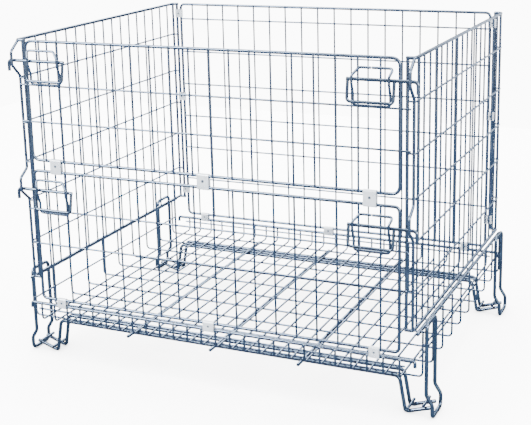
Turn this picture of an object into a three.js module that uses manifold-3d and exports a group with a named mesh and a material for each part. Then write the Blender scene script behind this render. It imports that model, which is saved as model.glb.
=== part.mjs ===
// A wire mesh storage container, 1 m long, made of bent and welded round steel rod and wire.
// Millimetres, +Z up, +X along the long front, -Y towards the front with the gate.
// The origin is on the ground under the middle of the outline.
import * as THREE from "three";
import { mergeVertices } from "three/addons/utils/BufferGeometryUtils.js";
import Module from "manifold-3d";

const wasm = await Module();
wasm.setup();

// ---- Driving dimensions ----
const DEPTH = 776; // between the planes of the front and back panels
const MID_Y = 7.3; // the latches stand out at the front, so the middle of the panels lies this far back
const FRONT_Y = MID_Y - DEPTH / 2;
const BACK_Y = MID_Y + DEPTH / 2;

// Rod and wire diameters
const MESH_D = 4.6; // panel mesh
const FLOOR_D = 5; // base mesh
const FRAME_D = 7.5; // panel frames and the return posts of the side panels
const POST_D = 7; // corner posts of the side panels
const RAIL_D = 8; // side panel rails, base rails and floor bars
const SKID_D = 9; // the rods that make the feet
const RING_D = 6; // latch brackets
const BOLT_D = 8;
const HANDLE_D = 7;

// A round rod is a bar with eight or six sides and about the same section area. A mesh wire has
// four sides and stands on its edge, so that crossing wires meet edge to edge.
const ROD_CORNER = 1.054; // corner distance over round radius
const ROD_FLAT = 0.974; // flat distance over round radius
const WIRE_CORNER = 1.22;
const CROSSING = MESH_D - 0.7; // between the middles of two mesh wires welded across each other
const GAP = 0.3; // between pieces that are welded to each other

// Heights of the front's rods and wires. The front is two panels, one above the other.
const TOP_Z = 812;
const GATE_ROWS = [706, 616];
const GATE_BOTTOM_Z = 521;
const LOWER_TOP_Z = 493.5;
const LOWER_ROWS = [395, 307];
const LOWER_BOTTOM_Z = 163;
const BASE_RAIL_Z = 147;
const BACK_ROWS = [0, 1, 2, 3, 4, 5].map((i) => 769 - 98.4 * i);
const SIDE_ROWS = [721, 610, 512, 414, 306];
const SIDE_BOTTOM_Z = 215;

// Front and back panels
const FRAME_X = 466; // frame uprights
const PITCH = 50; // between mesh uprights
const UPRIGHTS = 18;
const UPRIGHT_OUT = 4.3; // the mesh uprights lie this far in front of the frame
const GATE_STOP_X = 490; // gate rows reach out in front of the side panels' return posts
const LOWER_STOP_X = 486;

// Side panels
const RETURN_X = 479; // return posts
const CORNER_X = 493.5; // corner posts and mesh uprights
const SIDE_RAIL_X = 496;
const RETURN_FRONT_Y = FRONT_Y + 8.5; // the front return stands behind the front panels
const RETURN_BACK_Y = BACK_Y + 1;
const SIDE_UPRIGHTS = 17;
const SIDE_PITCH = 44;

// Latches
const UPPER_BOLT_Z = 766;
const LOWER_BOLT_Z = 448;
const BOLT_Y = FRONT_Y - 11.6;
const BOLT_X = [352, 508];
const BOLT_TIP_DROP = 26;
const HANDLE_X = [355, 457];
const HANDLE_DROP = 47;
const HANDLE_LEAN = 8.2; // a hanging handle rests this far forward, on the arms of its bracket
const BRACKET_Y = FRONT_Y - 11.2; // where a bracket is welded to the mesh
const KNEE_Y = BOLT_Y - 8.5; // where it bows out round the bolt
const BOW_Y = BOLT_Y - 8.6; // where a corner post bows out round the bolt's tip

// Base
const FLOOR_Z = 106; // front-to-back wires
const CROSS_Z = FLOOR_Z - FLOOR_D + 0.6; // left-to-right wires under them
const FLOOR_WIRES = 26;
const FLOOR_PITCH = 37.5;
const CROSS_WIRES = 10;
const CROSS_PITCH = 80;
const LEG_HALF = (WIRE_CORNER * FLOOR_D) / 2;
const END_LEG = DEPTH / 2 + 6; // floor wires turn up here, outside the front and back base rails
const SIDE_LEG = 511; // cross wires turn up here, outside the side rails
const SIDE_BASE_RAIL_X = 505;
const SIDE_BASE_RAIL_Z = 207.5;
const BAR_X = [-225, 0, 225];
const BAR_Z = CROSS_Z - (WIRE_CORNER * FLOOR_D) / 2 - GAP - (ROD_FLAT * RAIL_D) / 2;
const SKID_Z = BAR_Z - (ROD_FLAT * (RAIL_D + SKID_D)) / 2 - GAP;
const SKID_YS = [341, 305];
const HOOP_YS = [356, 288];
const HOOP_X = 518.9;
const HOOP_TOP_Z = 222;
const GROUND_Z = (ROD_FLAT * SKID_D) / 2; // middle of a rod that lies on the ground

// Hinge clips: a strip bent round two rods
const CLIP_WALL = 1.5;
const CLIP_PLAY = 0.25;
const BASE_CLIP_XS = [-409.5, 0, 409.5];
const BASE_CLIP_WIDTH = 24;
const GATE_CLIP_XS = [-400, 0, 400];
const GATE_CLIP_WIDTH = 30;
const CORNER_CLIP_ZS = [785, 533, 241];
const CORNER_CLIP_WIDTH = 23;

// ---- Materials ----
const wireZinc = new THREE.MeshStandardMaterial({ color: 0xaab9cc, roughness: 0.35, metalness: 0.9 });
const rodZinc = new THREE.MeshStandardMaterial({ color: 0x9fb2c8, roughness: 0.3, metalness: 0.9 });
const stripZinc = new THREE.MeshStandardMaterial({ color: 0xc3cfdd, roughness: 0.4, metalness: 0.85 });

// ---- Solids ----
const vec = (x, y, z) => new THREE.Vector3(x, y, z);
const spread = (count, pitch) => Array.from({ length: count }, (_, i) => (i - (count - 1) / 2) * pitch);
const join = (solids) => wasm.Manifold.union(solids);

// A bent rod's centre line: straight between its corners, with each corner rounded.
class BentLine extends THREE.Curve {
  constructor(corners, bend, coarseness) {
    super();
    this.points = [corners[0].clone()];
    for (let i = 1; i < corners.length - 1; i++) {
      const here = corners[i];
      const before = corners[i - 1].clone().sub(here);
      const after = corners[i + 1].clone().sub(here);
      const turn = Math.PI - before.angleTo(after);
      const reach = Math.min(bend * Math.tan(turn / 2), 0.46 * before.length(), 0.46 * after.length());
      const from = here.clone().add(before.setLength(reach));
      const to = here.clone().add(after.setLength(reach));
      const arc = new THREE.QuadraticBezierCurve3(from, here, to);
      this.points.push(...arc.getPoints(Math.ceil(THREE.MathUtils.radToDeg(turn) / coarseness)));
    }
    this.points.push(corners.at(-1).clone());
    this.steps = this.points.length - 1;
  }

  getPointAt(u) {
    return this.points[Math.round(u * this.steps)].clone();
  }

  getTangentAt(u) {
    const i = Math.round(u * this.steps);
    const tangent = vec(0, 0, 0);
    if (i > 0) tangent.add(this.points[i].clone().sub(this.points[i - 1]).normalize());
    if (i < this.steps) tangent.add(this.points[i + 1].clone().sub(this.points[i]).normalize());
    return tangent.normalize();
  }

  // Stretches the section across each corner, so that every straight run keeps its full thickness.
  computeFrenetFrames(segments, closed) {
    const frames = super.computeFrenetFrames(segments, closed);
    for (let i = 1; i < this.steps; i++) {
      const before = this.points[i].clone().sub(this.points[i - 1]).normalize();
      const after = this.points[i + 1].clone().sub(this.points[i]).normalize();
      const stretch = 1 / Math.cos(before.angleTo(after) / 2) - 1;
      const across = after.sub(before).normalize();
      for (const side of [frames.normals[i], frames.binormals[i]]) {
        side.addScaledVector(across, side.dot(across) * stretch);
      }
    }
    return frames;
  }
}

// A closed geometry as a solid that can be joined to others.
function solid(geometry) {
  geometry.deleteAttribute("normal");
  geometry.deleteAttribute("uv");
  const merged = mergeVertices(geometry, 1e-4);
  return new wasm.Manifold(
    new wasm.Mesh({
      numProp: 3,
      vertProperties: new Float32Array(merged.attributes.position.array),
      triVerts: new Uint32Array(merged.index.array),
    }),
  );
}

function bar(corners, sides, radius, firstCorner, bend, coarseness) {
  const line = new BentLine(corners, bend, coarseness);
  const points = Array.from({ length: sides }, (_, i) => {
    const angle = firstCorner + (i * 2 * Math.PI) / sides;
    return new THREE.Vector2(radius * Math.cos(angle), radius * Math.sin(angle));
  });
  const shape = new THREE.Shape(points);
  return solid(new THREE.ExtrudeGeometry(shape, { steps: line.steps, extrudePath: line }));
}

function rod(corners, diameter, bend = 1.5 * diameter) {
  return bar(corners, 8, (ROD_CORNER * diameter) / 2, Math.PI / 8, bend, 100);
}

function thinRod(corners, diameter, bend = 1.5 * diameter) {
  return bar(corners, 6, (ROD_CORNER * diameter) / 2, 0, bend, 100);
}

function wire(corners, diameter, bend = 0) {
  return bar(corners, 4, (WIRE_CORNER * diameter) / 2, 0, bend, 100);
}

// A closed loop of rod, made of two halves that start together and lap over each other at both ends.
function loop(make, corners, diameter, bend) {
  const half = corners.length / 2;
  const between = (a, b, past) => a.clone().lerp(b, 0.5).add(b.clone().sub(a).setLength(past));
  const first = [corners.at(-1), corners[0]];
  const second = [corners[half - 1], corners[half]];
  return join([
    make([between(...first, 0), ...corners.slice(0, half), between(...second, 0.5)], diameter, bend),
    make([between(...first, 0.5), ...corners.slice(half).reverse(), between(...second, 0)], diameter, bend),
  ]);
}

const container = new THREE.Group();

function piece(name, shape, material) {
  const { vertProperties, triVerts, numProp } = shape.getMesh();
  const count = vertProperties.length / numProp;
  const position = new Float32Array(count * 3);
  for (let i = 0; i < count; i++) {
    position.set(vertProperties.subarray(i * numProp, i * numProp + 3), i * 3);
  }
  const geometry = new THREE.BufferGeometry();
  geometry.setAttribute("position", new THREE.BufferAttribute(position, 3));
  geometry.setIndex(new THREE.BufferAttribute(new Uint32Array(triVerts), 1));
  geometry.computeVertexNormals();
  const mesh = new THREE.Mesh(geometry, material.clone());
  mesh.name = name;
  container.add(mesh);
}

// ---- Front and back panels: a rod frame with mesh uprights on its front and rows behind them ----
function panel(y, top, bottom, rows, rowReach, topBend, extras = []) {
  const lap = bottom + 60;
  const upper = [
    vec(-FRAME_X, y, lap),
    vec(-FRAME_X, y, top),
    vec(FRAME_X, y, top),
    vec(FRAME_X, y, lap),
  ];
  const lower = [
    vec(-FRAME_X, y, lap + 0.5),
    vec(-FRAME_X, y, bottom),
    vec(FRAME_X, y, bottom),
    vec(FRAME_X, y, lap + 0.5),
  ];
  const solids = [thinRod(upper, FRAME_D, topBend), thinRod(lower, FRAME_D, 12), ...extras];
  for (const x of spread(UPRIGHTS, PITCH)) {
    solids.push(wire([vec(x, y - UPRIGHT_OUT, bottom - 2), vec(x, y - UPRIGHT_OUT, top + 2)], MESH_D));
  }
  const rowY = y - UPRIGHT_OUT + CROSSING;
  for (const z of rows) {
    solids.push(wire([vec(-rowReach, rowY, z), vec(rowReach, rowY, z)], MESH_D));
  }
  return join(solids);
}

// The lower panel's rows reach past its frame, and a short upright joins their ends on each side.
function lowerStops() {
  const y = FRONT_Y - UPRIGHT_OUT + CROSSING;
  const [high, low] = LOWER_ROWS;
  return [-1, 1].map((side) => {
    const x = side * LOWER_STOP_X;
    return wire([vec(x, y, low - 2), vec(x, y, high + 2)], MESH_D);
  });
}

// ---- Side panels: mesh with a narrow return round each upright edge ----
function sidePanel(name, side) {
  const wrap = (x, z, inset, end) => [
    vec(side * end, RETURN_FRONT_Y - inset, z),
    vec(side * x, RETURN_FRONT_Y - inset, z),
    vec(side * x, RETURN_BACK_Y + inset, z),
    vec(side * end, RETURN_BACK_Y + inset, z),
  ];
  const corner = side * CORNER_X;
  const solids = [
    thinRod(wrap(SIDE_RAIL_X, TOP_Z, 1, RETURN_X - 3), RAIL_D, 9),
    thinRod(wrap(SIDE_RAIL_X, SIDE_BOTTOM_Z, 1, RETURN_X - 3), RAIL_D, 9),
    bowedPost(corner, RETURN_FRONT_Y),
    thinRod([vec(corner, RETURN_BACK_Y, SIDE_BOTTOM_Z), vec(corner, RETURN_BACK_Y, TOP_Z)], POST_D),
  ];
  for (const y of [RETURN_FRONT_Y, BACK_Y]) {
    const x = side * RETURN_X;
    solids.push(thinRod([vec(x, y, SIDE_BOTTOM_Z - 2), vec(x, y, TOP_Z + 2)], FRAME_D));
  }
  for (const y of spread(SIDE_UPRIGHTS, SIDE_PITCH)) {
    solids.push(wire([vec(corner, MID_Y + y, SIDE_BOTTOM_Z - 1), vec(corner, MID_Y + y, TOP_Z + 1)], MESH_D));
  }
  for (const z of SIDE_ROWS) {
    solids.push(wire(wrap(CORNER_X + CROSSING, z, 1.5, RETURN_X), MESH_D, 7));
  }
  piece(name, join(solids), wireZinc);
}

// The front corner post bows out twice, and a latch bolt goes behind each bow.
function bowedPost(x, y) {
  const bow = (zs) => zs.map((z, i) => vec(x, i === 1 || i === 2 ? BOW_Y : y, z));
  const upper = bow([TOP_Z - 2, UPPER_BOLT_Z + 22, UPPER_BOLT_Z - 10, UPPER_BOLT_Z - 40]);
  const lower = bow([LOWER_BOLT_Z + 48, LOWER_BOLT_Z + 28, LOWER_BOLT_Z - 4, LOWER_BOLT_Z - 30]);
  return thinRod([vec(x, y, TOP_Z + 1), ...upper, ...lower, vec(x, y, SIDE_BOTTOM_Z)], POST_D, 8);
}

// ---- Latches: a bolt with a bent tip and a drop handle, and a bowed bracket that holds it ----
function latch(name, side, boltZ, footZ) {
  const at = (x, y, z) => vec(side * x, y, z);
  const bolt = [
    at(BOLT_X[0], BOLT_Y, boltZ),
    at(BOLT_X[1], BOLT_Y, boltZ),
    at(BOLT_X[1], BOLT_Y, boltZ - BOLT_TIP_DROP),
  ];
  const handle = [
    at(HANDLE_X[0], BOLT_Y, boltZ),
    at(HANDLE_X[0], BOLT_Y - HANDLE_LEAN, boltZ - HANDLE_DROP),
    at(HANDLE_X[1], BOLT_Y - HANDLE_LEAN, boltZ - HANDLE_DROP),
    at(HANDLE_X[1], BOLT_Y, boltZ),
  ];
  piece("latch_bolt_" + name, join([rod(bolt, BOLT_D, 9), thinRod(handle, HANDLE_D, 9)]), rodZinc);

  const arm = (topX, kneeX, footX) => [
    at(topX, BRACKET_Y, boltZ + 25),
    at(kneeX, KNEE_Y, boltZ + 8),
    at(kneeX, KNEE_Y, boltZ - 8),
    at(footX, BRACKET_Y, boltZ - 32),
    at(footX, BRACKET_Y, footZ),
  ];
  const corners = [...arm(380, 366, 366), ...arm(455, 448, 448).reverse()];
  piece("latch_bracket_" + name, loop(wire, corners, RING_D, 8), wireZinc);
}

// ---- Hinge clips ----
// The section of a strip bent round two rods, with the first at the origin and the second above it.
function clipSection(firstRod, secondRod, spacing) {
  const inner = [firstRod, secondRod].map((d) => (ROD_CORNER * d) / 2 + CLIP_PLAY + 0.15);
  const outline = (path, wall) => {
    path.absarc(0, 0, inner[0] + wall, Math.PI, 2 * Math.PI);
    path.absarc(0, spacing, inner[1] + wall, 0, Math.PI);
    path.closePath();
    return path;
  };
  const shape = outline(new THREE.Shape(), CLIP_WALL);
  shape.holes.push(outline(new THREE.Path(), 0));
  return shape;
}

function clip(firstRod, secondRod, spacing, width) {
  const shape = clipSection(firstRod, secondRod, spacing);
  const strip = new THREE.ExtrudeGeometry(shape, { depth: width, bevelEnabled: false, curveSegments: 4 });
  return solid(strip.translate(0, 0, -width / 2));
}

// Across two rods that run from left to right, one above the other.
function levelClip(name, x, y, z, spacing, firstRod, width) {
  const shape = clip(firstRod, FRAME_D, spacing, width);
  piece(name, shape.rotate([90, 0, 90]).translate([x, y, z]), stripZinc);
}

// Across an upright of the back panel and a return post.
function cornerClip(name, side, z) {
  const shape = clip(FRAME_D, FRAME_D, RETURN_X - FRAME_X, CORNER_CLIP_WIDTH);
  piece(name, shape.rotate([0, 0, -side * 90]).translate([side * FRAME_X, BACK_Y, z]), stripZinc);
}

// ---- Base ----
const floorXs = spread(FLOOR_WIRES, FLOOR_PITCH);
const crossYs = spread(CROSS_WIRES, CROSS_PITCH).map((y) => y + MID_Y);

function floorMesh() {
  const reachY = END_LEG - LEG_HALF - GAP;
  const reachX = SIDE_LEG - LEG_HALF - GAP;
  const solids = [
    ...floorXs.map((x) => wire([vec(x, MID_Y - reachY, FLOOR_Z), vec(x, MID_Y + reachY, FLOOR_Z)], FLOOR_D)),
    ...crossYs.map((y) => wire([vec(-reachX, y, CROSS_Z), vec(reachX, y, CROSS_Z)], FLOOR_D)),
  ];
  piece("base_floor_mesh", join(solids), wireZinc);
}

// The floor wires turn up at the front and back and stop on a rail whose ends turn down.
function endUpstand(name, out) {
  const legY = MID_Y + out * END_LEG;
  const railY = MID_Y + out * (DEPTH / 2);
  const midY = legY - out * ((FLOOR_D + MESH_D) / 2 - 0.7);
  const rail = [
    vec(-502, railY, BASE_RAIL_Z - 14),
    vec(-502, railY, BASE_RAIL_Z),
    vec(502, railY, BASE_RAIL_Z),
    vec(502, railY, BASE_RAIL_Z - 14),
  ];
  const solids = [thinRod(rail, RAIL_D, 9), wire([vec(-480, midY, 133), vec(480, midY, 133)], MESH_D)];
  for (const x of floorXs) {
    solids.push(wire([vec(x, legY, FLOOR_Z - LEG_HALF), vec(x, legY, BASE_RAIL_Z + 2)], FLOOR_D));
  }
  piece(name, join(solids), wireZinc);
}

// The cross wires turn up at the left and right and carry a rail next to the side panel's foot.
function sideUpstand(name, side) {
  const legX = side * SIDE_LEG;
  const railX = side * SIDE_BASE_RAIL_X;
  const midX = side * (SIDE_LEG - (FLOOR_D + MESH_D) / 2 + 0.7);
  const railReach = DEPTH / 2 - 8;
  const midReach = DEPTH / 2 - 18;
  const solids = [
    thinRod([vec(railX, MID_Y - railReach, SIDE_BASE_RAIL_Z), vec(railX, MID_Y + railReach, SIDE_BASE_RAIL_Z)], RAIL_D),
    wire([vec(midX, MID_Y - midReach, 150), vec(midX, MID_Y + midReach, 150)], MESH_D),
  ];
  for (const y of crossYs) {
    solids.push(wire([vec(legX, y, CROSS_Z - LEG_HALF), vec(legX, y, SIDE_BASE_RAIL_Z + 2)], FLOOR_D));
  }
  piece(name, join(solids), wireZinc);
}

function floorBar(name, x) {
  const reach = DEPTH / 2;
  piece(name, rod([vec(x, MID_Y - reach, BAR_Z), vec(x, MID_Y + reach, BAR_Z)], RAIL_D), rodZinc);
}

// A skid rod runs under the floor, drops at each end to the ground and turns out and up again.
function skid(name, y) {
  const end = (side) => [
    vec(side * 526, y, 21),
    vec(side * 475, y, GROUND_Z + 0.1),
    vec(side * 466, y, GROUND_Z + 0.1),
    vec(side * 452, y, SKID_Z),
  ];
  piece(name, rod([...end(-1), ...end(1).reverse()], SKID_D, 13), rodZinc);
}

// A foot's hoop stands outside the side upstand, and its bottom run lies on the ground.
function hoop(name, side, end) {
  const at = (out, y, z) => vec(side * (HOOP_X + out), MID_Y + end * y, z);
  const [far, near] = HOOP_YS;
  const corners = [
    at(14, near, GROUND_Z),
    at(14, near, 34),
    at(0, near, 56),
    at(0, near, HOOP_TOP_Z),
    at(0, far, HOOP_TOP_Z),
    at(0, far, 56),
    at(14, far, 34),
    at(14, far, GROUND_Z),
  ];
  piece(name, loop(rod, corners, SKID_D, 13), rodZinc);
}

// Two short rods tie the pair of skid rods together in each foot.
function tie(name, side, end, x, z, ys) {
  const ends = ys.map((y) => vec(side * x, MID_Y + end * y, z));
  piece(name, rod(ends, POST_D), rodZinc);
}

piece(
  "gate_panel",
  panel(FRONT_Y, TOP_Z, GATE_BOTTOM_Z, GATE_ROWS, GATE_STOP_X, 22),
  wireZinc,
);
piece(
  "lower_front_panel",
  panel(FRONT_Y, LOWER_TOP_Z, LOWER_BOTTOM_Z, LOWER_ROWS, LOWER_STOP_X + 2, 12, lowerStops()),
  wireZinc,
);
piece("back_panel", panel(BACK_Y, TOP_Z, LOWER_BOTTOM_Z, BACK_ROWS, FRAME_X + 2, 14), wireZinc);

["left", "middle", "right"].forEach((word, i) => {
  const gateSpacing = GATE_BOTTOM_Z - LOWER_TOP_Z;
  const baseSpacing = LOWER_BOTTOM_Z - BASE_RAIL_Z;
  const baseX = BASE_CLIP_XS[i];
  levelClip("gate_clip_" + word, GATE_CLIP_XS[i], FRONT_Y, LOWER_TOP_Z, gateSpacing, FRAME_D, GATE_CLIP_WIDTH);
  levelClip("front_base_clip_" + word, baseX, FRONT_Y, BASE_RAIL_Z, baseSpacing, RAIL_D, BASE_CLIP_WIDTH);
  levelClip("back_base_clip_" + word, baseX, BACK_Y, BASE_RAIL_Z, baseSpacing, RAIL_D, BASE_CLIP_WIDTH);
  floorBar("floor_bar_" + word, BAR_X[i]);
});

floorMesh();
endUpstand("base_front_upstand", -1);
endUpstand("base_back_upstand", 1);

for (const [hand, side] of [["left", -1], ["right", 1]]) {
  sidePanel(hand + "_side_panel", side);
  sideUpstand("base_" + hand + "_upstand", side);
  latch("upper_" + hand, side, UPPER_BOLT_Z, GATE_ROWS[0] + 4);
  latch("lower_" + hand, side, LOWER_BOLT_Z, LOWER_ROWS[0] - 4);
  ["top", "middle", "bottom"].forEach((word, i) => {
    cornerClip("corner_clip_" + hand + "_" + word, side, CORNER_CLIP_ZS[i]);
  });
}

for (const [word, end] of [["front", -1], ["back", 1]]) {
  skid(word + "_outer_skid_rod", MID_Y + end * SKID_YS[0]);
  skid(word + "_inner_skid_rod", MID_Y + end * SKID_YS[1]);
  for (const [hand, side] of [["left", -1], ["right", 1]]) {
    hoop(word + "_" + hand + "_foot_hoop", side, end);
    tie(word + "_" + hand + "_inner_tie", side, end, 474, 13.4, [350, 297]);
    tie(word + "_" + hand + "_outer_tie", side, end, 510, 25.5, [350, 296]);
  }
}

export default container;
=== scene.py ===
"""A zinc-plated wire mesh storage container: smooth bent wire, welds, hinge strips and latches."""

import math

import bmesh
import bpy
from mathutils import Matrix, Vector


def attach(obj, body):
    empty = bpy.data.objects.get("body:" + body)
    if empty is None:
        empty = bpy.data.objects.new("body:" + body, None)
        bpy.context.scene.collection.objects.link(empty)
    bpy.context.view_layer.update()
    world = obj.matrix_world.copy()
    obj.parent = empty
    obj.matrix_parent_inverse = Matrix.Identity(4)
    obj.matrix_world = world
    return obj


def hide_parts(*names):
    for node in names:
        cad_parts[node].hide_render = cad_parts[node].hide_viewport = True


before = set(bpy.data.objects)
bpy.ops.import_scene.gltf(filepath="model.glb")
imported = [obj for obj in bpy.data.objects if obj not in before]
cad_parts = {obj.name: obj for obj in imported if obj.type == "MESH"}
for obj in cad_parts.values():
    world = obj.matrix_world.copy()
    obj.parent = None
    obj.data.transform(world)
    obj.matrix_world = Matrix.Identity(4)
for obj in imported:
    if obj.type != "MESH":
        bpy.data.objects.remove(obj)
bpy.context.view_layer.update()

# ---- Driving dimensions, in millimetres, the same as the CAD model's ----
MID_Y = 7.3
DEPTH = 776
FRONT_Y = MID_Y - DEPTH / 2
BACK_Y = MID_Y + DEPTH / 2

MESH_D = 4.6
FLOOR_D = 5
FRAME_D = 7.5
POST_D = 7
RAIL_D = 8
SKID_D = 9
RING_D = 6
BOLT_D = 8
HANDLE_D = 7
CROSSING = MESH_D - 0.7

TOP_Z = 812
GATE_ROWS = [706, 616]
GATE_BOTTOM_Z = 521
LOWER_TOP_Z = 493.5
LOWER_ROWS = [395, 307]
LOWER_BOTTOM_Z = 163
BASE_RAIL_Z = 147
BACK_ROWS = [769 - 98.4 * i for i in range(6)]
SIDE_ROWS = [721, 610, 512, 414, 306]
SIDE_BOTTOM_Z = 215

FRAME_X = 466
PITCH = 50
UPRIGHTS = 18
UPRIGHT_OUT = 4.3
GATE_STOP_X = 490
LOWER_STOP_X = 486

RETURN_X = 479
CORNER_X = 493.5
SIDE_RAIL_X = 496
RETURN_FRONT_Y = FRONT_Y + 8.5
RETURN_BACK_Y = BACK_Y + 1
SIDE_UPRIGHTS = 17
SIDE_PITCH = 44

UPPER_BOLT_Z = 766
LOWER_BOLT_Z = 448
BOLT_Y = FRONT_Y - 11.6
BOLT_X = (352, 508)
BOLT_TIP_DROP = 26
HANDLE_X = (355, 457)
HANDLE_DROP = 47
HANDLE_LEAN = 7.6  # a hanging handle rests this far forward, on the arms of its bracket
BRACKET_Y = FRONT_Y - 10.4
KNEE_Y = BOLT_Y - 8.1
BOW_Y = BOLT_Y - 8.4

FLOOR_Z = 106
CROSS_Z = FLOOR_Z - FLOOR_D + 0.6
FLOOR_WIRES = 26
FLOOR_PITCH = 37.5
CROSS_WIRES = 10
CROSS_PITCH = 80
FLOOR_BEND = 12
END_LEG = DEPTH / 2 + 6
SIDE_LEG = 511
SIDE_BASE_RAIL_X = 505
SIDE_BASE_RAIL_Z = 207.5
BAR_X = (-225, 0, 225)
BAR_Z = CROSS_Z - 3.05 - 0.3 - RAIL_D / 2
SKID_Z = BAR_Z - (RAIL_D + SKID_D) / 2 - 0.1
SKID_YS = (341, 305)
HOOP_YS = (356, 288)
HOOP_X = 518.6
HOOP_TOP_Z = 221.5
GROUND_Z = SKID_D / 2 + 0.05

CLIP_WALL = 1.5
BASE_CLIPS = ((-409.5, 24), (0, 28), (409.5, 24))
GATE_CLIPS = ((-400, 30), (0, 30), (400, 30))
CORNER_CLIP_ZS = (785, 533, 241)
CORNER_CLIP_WIDTH = 23

SIDES = 14  # of a round rod
CUT = 0.5  # how far a cut end is dressed

HANDS = (("left", -1), ("right", 1))
ENDS = (("front", -1), ("back", 1))
THIRDS = ("left", "middle", "right")


# ---- Shapes ----
def spread(count, pitch):
    return [(i - (count - 1) / 2) * pitch for i in range(count)]


def rounded(corners, bend):
    """The points of a line through the corners, with each corner turned on a bend."""
    corners = [Vector(c) for c in corners]
    points = [corners[0]]
    for before, here, after in zip(corners, corners[1:], corners[2:]):
        back = before - here
        on = after - here
        turn = math.pi - back.angle(on)
        if turn < 0.01:
            continue
        reach = min(bend * math.tan(turn / 2), 0.46 * back.length, 0.46 * on.length)
        start = here + back.normalized() * reach
        end = here + on.normalized() * reach
        steps = max(3, round(math.degrees(turn) / 9))
        for i in range(steps + 1):
            t = i / steps
            points.append(start * (1 - t) ** 2 + here * 2 * t * (1 - t) + end * t * t)
    points.append(corners[-1])
    return points


class Shape:
    """Vertices, faces and each face's material, gathered for one mesh."""

    def __init__(self):
        self.verts = []
        self.faces = []
        self.finish_of = []

    def rings(self, rings, finish=0):
        """Skins a run of equal rings and closes both ends."""
        first = len(self.verts)
        count = len(rings[0])
        for ring in rings:
            self.verts.extend(ring)
        for i in range(len(rings) - 1):
            for j in range(count):
                a = first + i * count + j
                b = first + i * count + (j + 1) % count
                self.faces.append((a, b, b + count, a + count))
                self.finish_of.append(finish)
        last = first + (len(rings) - 1) * count
        self.faces.append(tuple(range(first + count - 1, first - 1, -1)))
        self.faces.append(tuple(range(last, last + count)))
        self.finish_of.extend((finish, finish))

    def tube(self, corners, diameter, bend=None, finish=0):
        """A bent round rod with dressed ends."""
        points = rounded(corners, 1.6 * diameter if bend is None else bend)
        radius = diameter / 2
        first = (points[1] - points[0]).normalized()
        last = (points[-1] - points[-2]).normalized()
        points[1:1] = [points[0] + first * CUT]
        points[-1:-1] = [points[-1] - last * CUT]
        side = first.orthogonal().normalized()
        rings = []
        for i, point in enumerate(points):
            ahead = points[min(i + 1, len(points) - 1)] - point
            behind = point - points[max(i - 1, 0)]
            along = (ahead.normalized() + behind.normalized()).normalized()
            side = (side - along * side.dot(along)).normalized()
            other = along.cross(side)
            size = radius - (CUT if i in (0, len(points) - 1) else 0)
            rings.append([
                point + size * (math.cos(a) * side + math.sin(a) * other)
                for a in (2 * math.pi * k / SIDES for k in range(SIDES))
            ])
        self.rings(rings, finish)

    def weld(self, at, radii):
        """A small pressed weld, as a low dome all round a crossing."""
        rings = []
        for i in range(7):
            polar = math.pi * (i + 0.35) / 6.7
            rings.append([
                Vector((
                    at[0] + radii[0] * math.sin(polar) * math.cos(a),
                    at[1] + radii[1] * math.sin(polar) * math.sin(a),
                    at[2] - radii[2] * math.cos(polar),
                ))
                for a in (2 * math.pi * k / 10 for k in range(10))
            ])
        self.rings(rings, 1)

    def strip(self, place, spacing, inner, width):
        """A strip bent round two rods: place(u, v, w) gives a point from its section and length."""
        def outline(grow):
            low = [(math.pi + math.pi * k / 12, 0, inner[0]) for k in range(13)]
            high = [(math.pi * k / 12, spacing, inner[1]) for k in range(13)]
            return [((r + grow) * math.cos(a), v + (r + grow) * math.sin(a)) for a, v, r in low + high]

        edge = 0.35
        bands = [
            (0, -width / 2 + edge), (edge, -width / 2), (CLIP_WALL - edge, -width / 2),
            (CLIP_WALL, -width / 2 + edge), (CLIP_WALL, width / 2 - edge),
            (CLIP_WALL - edge, width / 2), (edge, width / 2), (0, width / 2 - edge),
        ]
        first = len(self.verts)
        loops = [[place(u, v, w) for u, v in outline(grow)] for grow, w in bands]
        count = len(loops[0])
        for ring in loops:
            self.verts.extend(ring)
        for i in range(len(loops)):
            for j in range(count):
                a = first + i * count + j
                b = first + i * count + (j + 1) % count
                c = first + ((i + 1) % len(loops)) * count + (j + 1) % count
                d = first + ((i + 1) % len(loops)) * count + j
                self.faces.append((a, b, c, d))
                self.finish_of.append(0)

    def rivet(self, place, v, reach, radius):
        """A rivet through a strip, with a low head that has a pressed dimple at each end."""
        profile = [
            (-reach - 0.35, radius * 0.15), (-reach - 0.55, radius * 0.4), (-reach - 0.95, radius * 0.72),
            (-reach - 0.6, radius), (-reach + 0.1, radius * 1.05), (-reach + 0.1, radius * 0.7),
            (reach - 0.1, radius * 0.7), (reach - 0.1, radius * 1.05), (reach + 0.6, radius),
            (reach + 0.95, radius * 0.72), (reach + 0.55, radius * 0.4), (reach + 0.35, radius * 0.15),
        ]
        rings = [
            [
                place(u, v + r * math.cos(a), r * math.sin(a))
                for a in (2 * math.pi * k / 16 for k in range(16))
            ]
            for u, r in profile
        ]
        self.rings(rings, 1)

    def build(self, name, body, nodes, finishes):
        mesh = bpy.data.meshes.new(name)
        mesh.from_pydata([v / 1000 for v in self.verts], [], self.faces)
        for finish in finishes:
            mesh.materials.append(finish)
        mesh.polygons.foreach_set("material_index", self.finish_of)
        mesh.polygons.foreach_set("use_smooth", [True] * len(mesh.polygons))
        mesh.update()
        piece = bpy.data.objects.new(name, mesh)
        bpy.context.scene.collection.objects.link(piece)
        mend(mesh)
        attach(piece, body)
        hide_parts(*nodes)
        return piece


def mend(mesh):
    """Turns every face outwards and keeps cut ends and strip edges crisp."""
    work = bmesh.new()
    work.from_mesh(mesh)
    bmesh.ops.recalc_face_normals(work, faces=work.faces)
    for edge in work.edges:
        if len(edge.link_faces) == 2 and edge.calc_face_angle(0) > math.radians(38):
            edge.smooth = False
    work.to_mesh(mesh)
    work.free()


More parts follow.
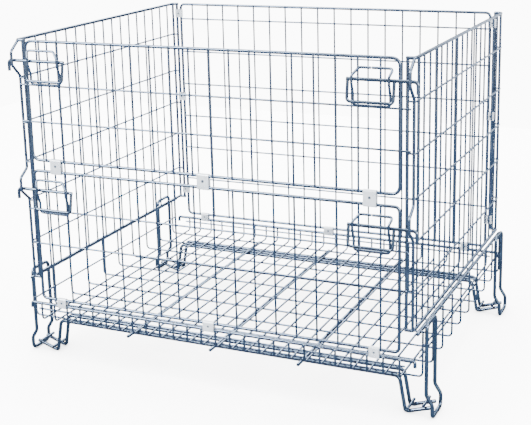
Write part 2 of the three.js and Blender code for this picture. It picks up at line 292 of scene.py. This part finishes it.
# ---- Materials ----
def zinc(name, pale, deep, rough, grain=0.04, metal=1.0):
    """Zinc-plated steel: cloudy bluish plating, with drawing marks and small spots in its gloss."""
    material = bpy.data.materials.new(name)
    material.use_nodes = True
    nodes = material.node_tree.nodes
    links = material.node_tree.links
    shader = nodes["Principled BSDF"]
    shader.inputs["Metallic"].default_value = metal
    shader.inputs["Specular IOR Level"].default_value = 0.6

    where = nodes.new("ShaderNodeTexCoord")
    cloud = nodes.new("ShaderNodeTexNoise")
    cloud.inputs["Scale"].default_value = 34
    cloud.inputs["Detail"].default_value = 5
    cloud.inputs["Roughness"].default_value = 0.6
    links.new(where.outputs["Object"], cloud.inputs["Vector"])
    tone = nodes.new("ShaderNodeValToRGB")
    tone.color_ramp.elements[0].position = 0.32
    tone.color_ramp.elements[0].color = (*deep, 1)
    tone.color_ramp.elements[1].position = 0.68
    tone.color_ramp.elements[1].color = (*pale, 1)
    links.new(cloud.outputs["Fac"], tone.inputs["Fac"])

    speck = nodes.new("ShaderNodeTexNoise")
    speck.inputs["Scale"].default_value = 900
    speck.inputs["Detail"].default_value = 3
    links.new(where.outputs["Object"], speck.inputs["Vector"])
    spots = nodes.new("ShaderNodeMixRGB")
    spots.blend_type = "MULTIPLY"
    spots.inputs["Fac"].default_value = 0.22
    links.new(tone.outputs["Color"], spots.inputs["Color1"])
    links.new(speck.outputs["Fac"], spots.inputs["Color2"])
    links.new(spots.outputs["Color"], shader.inputs["Base Color"])

    gloss = nodes.new("ShaderNodeMapRange")
    gloss.inputs["From Min"].default_value = 0.3
    gloss.inputs["From Max"].default_value = 0.7
    gloss.inputs["To Min"].default_value = rough - 0.04
    gloss.inputs["To Max"].default_value = rough + 0.05
    links.new(cloud.outputs["Fac"], gloss.inputs["Value"])
    links.new(gloss.outputs["Result"], shader.inputs["Roughness"])

    bump = nodes.new("ShaderNodeBump")
    bump.inputs["Strength"].default_value = grain
    bump.inputs["Distance"].default_value = 0.0003
    links.new(speck.outputs["Fac"], bump.inputs["Height"])
    links.new(bump.outputs["Normal"], shader.inputs["Normal"])
    return material


WIRE = zinc("zinc_wire", (0.27, 0.34, 0.45), (0.18, 0.24, 0.34), 0.2)
ROD = zinc("zinc_rod", (0.26, 0.33, 0.43), (0.16, 0.22, 0.31), 0.18)
STRIP = zinc("zinc_strip", (0.80, 0.84, 0.88), (0.62, 0.67, 0.73), 0.28, 0.2, 0.75)
WELD = zinc("zinc_weld", (0.28, 0.34, 0.44), (0.19, 0.25, 0.34), 0.3, 0.1)
RIVET = zinc("zinc_rivet", (0.18, 0.22, 0.28), (0.09, 0.12, 0.17), 0.34, 0.3)


# ---- Front and back panels ----
def panel(name, body, y, top, bottom, rows, reach, top_bend, stops=()):
    shape = Shape()
    right = FRAME_X
    shape.tube(
        [
            (0, y, bottom), (right, y, bottom), (right, y, top), (-right, y, top),
            (-right, y, bottom), (2, y, bottom),
        ],
        FRAME_D, top_bend,
    )
    upright_y = y - UPRIGHT_OUT
    row_y = upright_y + CROSSING
    for x in spread(UPRIGHTS, PITCH):
        shape.tube([(x, upright_y, bottom - 2), (x, upright_y, top + 2)], MESH_D)
        for z in (bottom, top):
            shape.weld((x, y - 2.8, z), (3.4, 2.6, 3.6))
        for z in rows:
            shape.weld((x, (upright_y + row_y) / 2, z), (3.1, 2.1, 3.1))
    for z in rows:
        shape.tube([(-reach, row_y, z), (reach, row_y, z)], MESH_D)
        for x in (-right, right):
            shape.weld((x, y, z), (4.1, 3.6, 3.3))
    for stop in stops:
        shape.tube(stop, MESH_D)
    shape.build(name, body, [name], [WIRE, WELD])


def lower_stops():
    y = FRONT_Y - UPRIGHT_OUT + CROSSING
    high, low = LOWER_ROWS
    return [
        [(side * (LOWER_STOP_X - 12), y, low), (side * LOWER_STOP_X, y, low),
         (side * LOWER_STOP_X, y, high), (side * (LOWER_STOP_X - 12), y, high)]
        for side in (-1, 1)
    ]


# ---- Side panels ----
def side_panel(name, body, side):
    shape = Shape()

    def wrap(x, z, inset, end):
        return [
            (side * end, RETURN_FRONT_Y - inset, z), (side * x, RETURN_FRONT_Y - inset, z),
            (side * x, RETURN_BACK_Y + inset, z), (side * end, RETURN_BACK_Y + inset, z),
        ]

    corner = side * CORNER_X
    for z in (TOP_Z, SIDE_BOTTOM_Z):
        shape.tube(wrap(SIDE_RAIL_X, z, 1, RETURN_X - 3), RAIL_D, 10)
    shape.tube(bowed_post(corner, RETURN_FRONT_Y), POST_D, 11)
    shape.tube([(corner, RETURN_BACK_Y, SIDE_BOTTOM_Z), (corner, RETURN_BACK_Y, TOP_Z)], POST_D)
    for y in (RETURN_FRONT_Y, BACK_Y):
        shape.tube([(side * RETURN_X, y, SIDE_BOTTOM_Z - 2), (side * RETURN_X, y, TOP_Z + 2)], FRAME_D)
        for z in (SIDE_BOTTOM_Z, TOP_Z):
            shape.weld((side * RETURN_X, y, z), (4.4, 4.3, 4.0))
    for offset in spread(SIDE_UPRIGHTS, SIDE_PITCH):
        y = MID_Y + offset
        shape.tube([(corner, y, SIDE_BOTTOM_Z - 1), (corner, y, TOP_Z + 1)], MESH_D)
        for z in SIDE_ROWS:
            shape.weld((side * (CORNER_X + CROSSING / 2), y, z), (2.1, 3.1, 3.1))
    for z in SIDE_ROWS:
        shape.tube(wrap(CORNER_X + CROSSING, z, 1.5, RETURN_X), MESH_D, 7)
    shape.build(name, body, [name], [WIRE, WELD])


def bowed_post(x, y):
    """The front corner post bows out twice, and a latch bolt goes behind each bow."""
    def bow(zs):
        return [(x, bow_y, z) for bow_y, z in zip((y, BOW_Y, BOW_Y, y), zs)]

    upper = bow((TOP_Z - 2, UPPER_BOLT_Z + 22, UPPER_BOLT_Z - 10, UPPER_BOLT_Z - 40))
    lower = bow((LOWER_BOLT_Z + 48, LOWER_BOLT_Z + 28, LOWER_BOLT_Z - 4, LOWER_BOLT_Z - 30))
    return [(x, y, TOP_Z + 1), *upper, *lower, (x, y, SIDE_BOTTOM_Z)]


# ---- Latches ----
def latch(level, hand, side, bolt_z, foot_z, panel_body):
    def at(x, y, z):
        return (side * x, y, z)

    shape = Shape()
    shape.tube(
        [
            at(BOLT_X[0], BOLT_Y, bolt_z),
            at(BOLT_X[1], BOLT_Y, bolt_z),
            at(BOLT_X[1], BOLT_Y, bolt_z - BOLT_TIP_DROP),
        ],
        BOLT_D, 10,
    )
    shape.tube(
        [
            at(HANDLE_X[0], BOLT_Y, bolt_z),
            at(HANDLE_X[0], BOLT_Y - HANDLE_LEAN, bolt_z - HANDLE_DROP),
            at(HANDLE_X[1], BOLT_Y - HANDLE_LEAN, bolt_z - HANDLE_DROP),
            at(HANDLE_X[1], BOLT_Y, bolt_z),
        ],
        HANDLE_D, 9,
    )
    for x in HANDLE_X:
        shape.weld(at(x, BOLT_Y, bolt_z - 2), (4.6, 3.9, 4.4))
    name = f"latch_bolt_{level}_{hand}"
    shape.build(name, f"{level}_{hand}_latch", [name], [ROD, WELD])

    def arm(top_x, knee_x, foot_x):
        return [
            at(top_x, BRACKET_Y, bolt_z + 25), at(knee_x, KNEE_Y, bolt_z + 8), at(knee_x, KNEE_Y, bolt_z - 8),
            at(foot_x, BRACKET_Y, bolt_z - 32), at(foot_x, BRACKET_Y, foot_z),
        ]

    corners = [*arm(380, 366, 366), *arm(455, 448, 448)[::-1]]
    shape = Shape()
    start = at(408, BRACKET_Y, bolt_z + 25)
    end = at(406, BRACKET_Y, bolt_z + 25)
    shape.tube([end, *corners, start], RING_D, 9)
    for x in (375, 425):
        shape.weld(at(x, BRACKET_Y + 3, foot_z), (3.6, 2.4, 3.2))
    shape.weld(at(425, BRACKET_Y + 3, bolt_z + 25), (3.6, 2.4, 3.2))
    name = f"latch_bracket_{level}_{hand}"
    shape.build(name, panel_body, [name], [WIRE, WELD])


# ---- Hinge strips ----
def level_clip(name, body, x, y, z, spacing, first_rod, width):
    shape = Shape()
    inner = (first_rod / 2 + 0.4, FRAME_D / 2 + 0.4)

    def place(u, v, w):
        return Vector((x + w, y + u, z + v))

    shape.strip(place, spacing, inner, width)
    shape.rivet(place, 0.58 * spacing, inner[1] + CLIP_WALL, 3.1 if spacing > 20 else 2.6)
    shape.build(name, body, [name], [STRIP, RIVET])


def corner_clip(name, body, side, z):
    shape = Shape()
    inner = (FRAME_D / 2 + 0.4, FRAME_D / 2 + 0.4)

    def place(u, v, w):
        return Vector((side * (FRAME_X + v), BACK_Y + u, z + w))

    shape.strip(place, RETURN_X - FRAME_X, inner, CORNER_CLIP_WIDTH)
    shape.rivet(place, 0.5 * (RETURN_X - FRAME_X), inner[1] + CLIP_WALL, 2.1)
    shape.build(name, body, [name], [STRIP, RIVET])


# ---- Base ----
def base():
    shape = Shape()
    floor_xs = spread(FLOOR_WIRES, FLOOR_PITCH)
    cross_ys = [y + MID_Y for y in spread(CROSS_WIRES, CROSS_PITCH)]
    front = MID_Y - END_LEG
    back = MID_Y + END_LEG
    for x in floor_xs:
        top = BASE_RAIL_Z + 2
        corners = [(x, front, top), (x, front, FLOOR_Z), (x, back, FLOOR_Z), (x, back, top)]
        shape.tube(corners, FLOOR_D, FLOOR_BEND)
        for y in cross_ys:
            shape.weld((x, y, (FLOOR_Z + CROSS_Z) / 2), (3.3, 3.3, 2.2))
    for y in cross_ys:
        top = SIDE_BASE_RAIL_Z + 2
        corners = [(-SIDE_LEG, y, top), (-SIDE_LEG, y, CROSS_Z), (SIDE_LEG, y, CROSS_Z), (SIDE_LEG, y, top)]
        shape.tube(corners, FLOOR_D, FLOOR_BEND)
    for end in (-1, 1):
        rail_y = MID_Y + end * DEPTH / 2
        leg_y = MID_Y + end * END_LEG
        mid_y = leg_y - end * ((FLOOR_D + MESH_D) / 2 - 0.7)
        half = [(502, BASE_RAIL_Z - 14), (502, BASE_RAIL_Z)]
        corners = [(-x, rail_y, z) for x, z in half] + [(x, rail_y, z) for x, z in half[::-1]]
        shape.tube(corners, RAIL_D, 10)
        shape.tube([(-480, mid_y, 133), (480, mid_y, 133)], MESH_D)
        for x in floor_xs:
            shape.weld((x, rail_y + end * 3.2, BASE_RAIL_Z), (3.4, 2.6, 3.6))
    for side in (-1, 1):
        rail_x = side * SIDE_BASE_RAIL_X
        mid_x = side * (SIDE_LEG - (FLOOR_D + MESH_D) / 2 + 0.7)
        reach = DEPTH / 2 - 8
        ends = (MID_Y - reach, MID_Y + reach)
        shape.tube([(rail_x, y, SIDE_BASE_RAIL_Z) for y in ends], RAIL_D)
        shape.tube([(mid_x, MID_Y - reach + 10, 150), (mid_x, MID_Y + reach - 10, 150)], MESH_D)
        for y in cross_ys:
            shape.weld((rail_x + side * 3.2, y, SIDE_BASE_RAIL_Z), (2.6, 3.4, 3.6))
    nodes = ["base_floor_mesh"] + [f"base_{word}_upstand" for word in ("front", "back", "left", "right")]
    shape.build("base_mesh", "base", nodes, [WIRE, WELD])


def rod_piece(name, corners, diameter, bend=None):
    shape = Shape()
    shape.tube(corners, diameter, bend)
    shape.build(name, "base", [name], [ROD, WELD])


def feet():
    reach = DEPTH / 2
    for word, x in zip(THIRDS, BAR_X):
        rod_piece(f"floor_bar_{word}", [(x, MID_Y - reach, BAR_Z), (x, MID_Y + reach, BAR_Z)], RAIL_D)
    for word, end in ENDS:
        for place, offset in zip(("outer", "inner"), SKID_YS):
            y = MID_Y + end * offset
            half = [(526, 21), (475, GROUND_Z + 0.1), (466, GROUND_Z + 0.1), (452, SKID_Z)]
            corners = [(-x, y, z) for x, z in half] + [(x, y, z) for x, z in half[::-1]]
            rod_piece(f"{word}_{place}_skid_rod", corners, SKID_D, 15)
        for hand, side in HANDS:
            hoop(f"{word}_{hand}_foot_hoop", side, end)
            for place, x, z, ys in (("inner", 474, 13.6, (350, 297)), ("outer", 510, 25.5, (350, 296))):
                corners = [(side * x, MID_Y + end * y, z) for y in ys]
                rod_piece(f"{word}_{hand}_{place}_tie", corners, POST_D)


def hoop(name, side, end):
    far, near = HOOP_YS

    def at(out, y, z):
        return (side * (HOOP_X + out), MID_Y + end * y, z)

    middle = (far + near) / 2
    corners = [
        at(14, middle + 1, GROUND_Z), at(14, near, GROUND_Z), at(14, near, 34), at(0, near, 56),
        at(0, near, HOOP_TOP_Z), at(0, far, HOOP_TOP_Z), at(0, far, 56), at(14, far, 34),
        at(14, far, GROUND_Z), at(14, middle - 1, GROUND_Z),
    ]
    rod_piece(name, corners, SKID_D, 16)


panel("gate_panel", "gate", FRONT_Y, TOP_Z, GATE_BOTTOM_Z, GATE_ROWS, GATE_STOP_X, 20)
panel(
    "lower_front_panel", "lower_front", FRONT_Y, LOWER_TOP_Z, LOWER_BOTTOM_Z,
    LOWER_ROWS, LOWER_STOP_X - 2, 13, lower_stops(),
)
panel("back_panel", "base", BACK_Y, TOP_Z, LOWER_BOTTOM_Z, BACK_ROWS, FRAME_X + 2, 14)
for word, (base_x, base_width), (gate_x, gate_width) in zip(THIRDS, BASE_CLIPS, GATE_CLIPS):
    level_clip(
        f"gate_clip_{word}", "gate_hinges", gate_x, FRONT_Y, LOWER_TOP_Z,
        GATE_BOTTOM_Z - LOWER_TOP_Z, FRAME_D, gate_width,
    )
    for place, body, y in (("front", "lower_front", FRONT_Y), ("back", "base", BACK_Y)):
        level_clip(
            f"{place}_base_clip_{word}", body, base_x, y, BASE_RAIL_Z,
            LOWER_BOTTOM_Z - BASE_RAIL_Z, RAIL_D, base_width,
        )
for hand, side in HANDS:
    side_panel(f"{hand}_side_panel", f"{hand}_side", side)
    latch("upper", hand, side, UPPER_BOLT_Z, GATE_ROWS[0] + 4, "gate")
    latch("lower", hand, side, LOWER_BOLT_Z, LOWER_ROWS[0] - 4, "lower_front")
    for place, z in zip(("top", "middle", "bottom"), CORNER_CLIP_ZS):
        corner_clip(f"corner_clip_{hand}_{place}", f"{hand}_side", side, z)
base()
feet()


# ---- Studio ----
PANELS = 5  # lit panels all round
WHITE = 11


def math_node(nodes, links, operation, *values):
    node = nodes.new("ShaderNodeMath")
    node.operation = operation
    for socket, value in zip(node.inputs, values):
        if isinstance(value, (int, float)):
            socket.default_value = value
        else:
            links.new(value, socket)
    return node.outputs["Value"]


def studio():
    mesh = bpy.data.meshes.new("studio_floor")
    half = 2.6
    corners = [(-half, -half, 0), (half, -half, 0), (half, half, 0), (-half, half, 0)]
    mesh.from_pydata(corners, [], [(0, 1, 2, 3)])
    floor = bpy.data.objects.new("studio_floor", mesh)
    bpy.context.scene.collection.objects.link(floor)
    paint = bpy.data.materials.new("studio_paint")
    paint.use_nodes = True
    shader = paint.node_tree.nodes["Principled BSDF"]
    shader.inputs["Roughness"].default_value = 0.9
    shader.inputs["Specular IOR Level"].default_value = 0.0
    # Gloss sees a dark floor, so that the undersides of the rods don't turn white.
    seen = paint.node_tree.nodes.new("ShaderNodeLightPath")
    tint = paint.node_tree.nodes.new("ShaderNodeMixRGB")
    tint.inputs["Color1"].default_value = (0.97, 0.97, 0.97, 1)
    tint.inputs["Color2"].default_value = (0.02, 0.03, 0.045, 1)
    paint.node_tree.links.new(seen.outputs["Is Glossy Ray"], tint.inputs["Fac"])
    paint.node_tree.links.new(tint.outputs["Color"], shader.inputs["Base Color"])
    mesh.materials.append(paint)

    world = bpy.data.worlds.new("studio_air")
    bpy.context.scene.world = world
    world.use_nodes = True
    nodes = world.node_tree.nodes
    links = world.node_tree.links
    sky = nodes["Background"]
    where = nodes.new("ShaderNodeTexCoord")
    split = nodes.new("ShaderNodeSeparateXYZ")
    links.new(where.outputs["Generated"], split.inputs["Vector"])

    # Gloss sees a dim room with tall lit panels all round and a bright ceiling.
    azimuth = math_node(nodes, links, "ARCTAN2", split.outputs["Y"], split.outputs["X"])
    spun = math_node(nodes, links, "MULTIPLY", azimuth, PANELS)
    wave = math_node(nodes, links, "SINE", math_node(nodes, links, "ADD", spun, 0.7))
    lit = nodes.new("ShaderNodeValToRGB")
    lit.color_ramp.elements[0].position = 0.5
    lit.color_ramp.elements[0].color = (0.02, 0.035, 0.07, 1)
    lit.color_ramp.elements[1].position = 0.85
    lit.color_ramp.elements[1].color = (1.9, 2.05, 2.25, 1)
    links.new(wave, lit.inputs["Fac"])
    ceiling = nodes.new("ShaderNodeValToRGB")
    ceiling.color_ramp.elements[0].position = 0.25
    ceiling.color_ramp.elements[0].color = (0, 0, 0, 1)
    ceiling.color_ramp.elements[1].position = 0.8
    ceiling.color_ramp.elements[1].color = (0.75, 0.8, 0.86, 1)
    links.new(split.outputs["Z"], ceiling.inputs["Fac"])
    room = nodes.new("ShaderNodeMixRGB")
    room.blend_type = "LIGHTEN"
    room.inputs["Fac"].default_value = 1
    links.new(lit.outputs["Color"], room.inputs["Color1"])
    links.new(ceiling.outputs["Color"], room.inputs["Color2"])

    # The floor and the background see an even white.
    ray = nodes.new("ShaderNodeLightPath")
    choose = nodes.new("ShaderNodeMixRGB")
    choose.inputs["Color1"].default_value = (WHITE, WHITE, WHITE, 1)
    links.new(ray.outputs["Is Glossy Ray"], choose.inputs["Fac"])
    links.new(room.outputs["Color"], choose.inputs["Color2"])
    links.new(choose.outputs["Color"], sky.inputs["Color"])

    for name, spot, size, power in (
        ("key", (-2.6, -3.2, 3.4), 2.2, 260),
        ("fill", (3.6, -1.6, 2.2), 1.6, 120),
        ("top", (0.3, 0.4, 4.4), 3.4, 120),
        ("rim", (-1.5, 3.8, 2.8), 2.2, 170),
    ):
        data = bpy.data.lights.new(name, "AREA")
        data.shape = "SQUARE"
        data.size = size
        data.energy = power
        lamp = bpy.data.objects.new(name, data)
        bpy.context.scene.collection.objects.link(lamp)
        lamp.location = spot
        lamp.rotation_euler = (Vector((0, 0, 0.4)) - Vector(spot)).to_track_quat("-Z", "Y").to_euler()


def camera():
    data = bpy.data.cameras.new("camera")
    data.sensor_width = 36
    data.lens = 77.1
    data.shift_y = -0.118
    eye = bpy.data.objects.new("camera", data)
    bpy.context.scene.collection.objects.link(eye)
    turn = (
        Matrix.Rotation(math.radians(24.67), 4, "Z")
        @ Matrix.Rotation(math.radians(90 - 13.72), 4, "X")
        @ Matrix.Rotation(math.radians(-1.4), 4, "Z")
    )
    eye.matrix_world = Matrix.Translation((1.1726, -2.5914, 1.1881)) @ turn
    bpy.context.scene.camera = eye


studio()
camera()
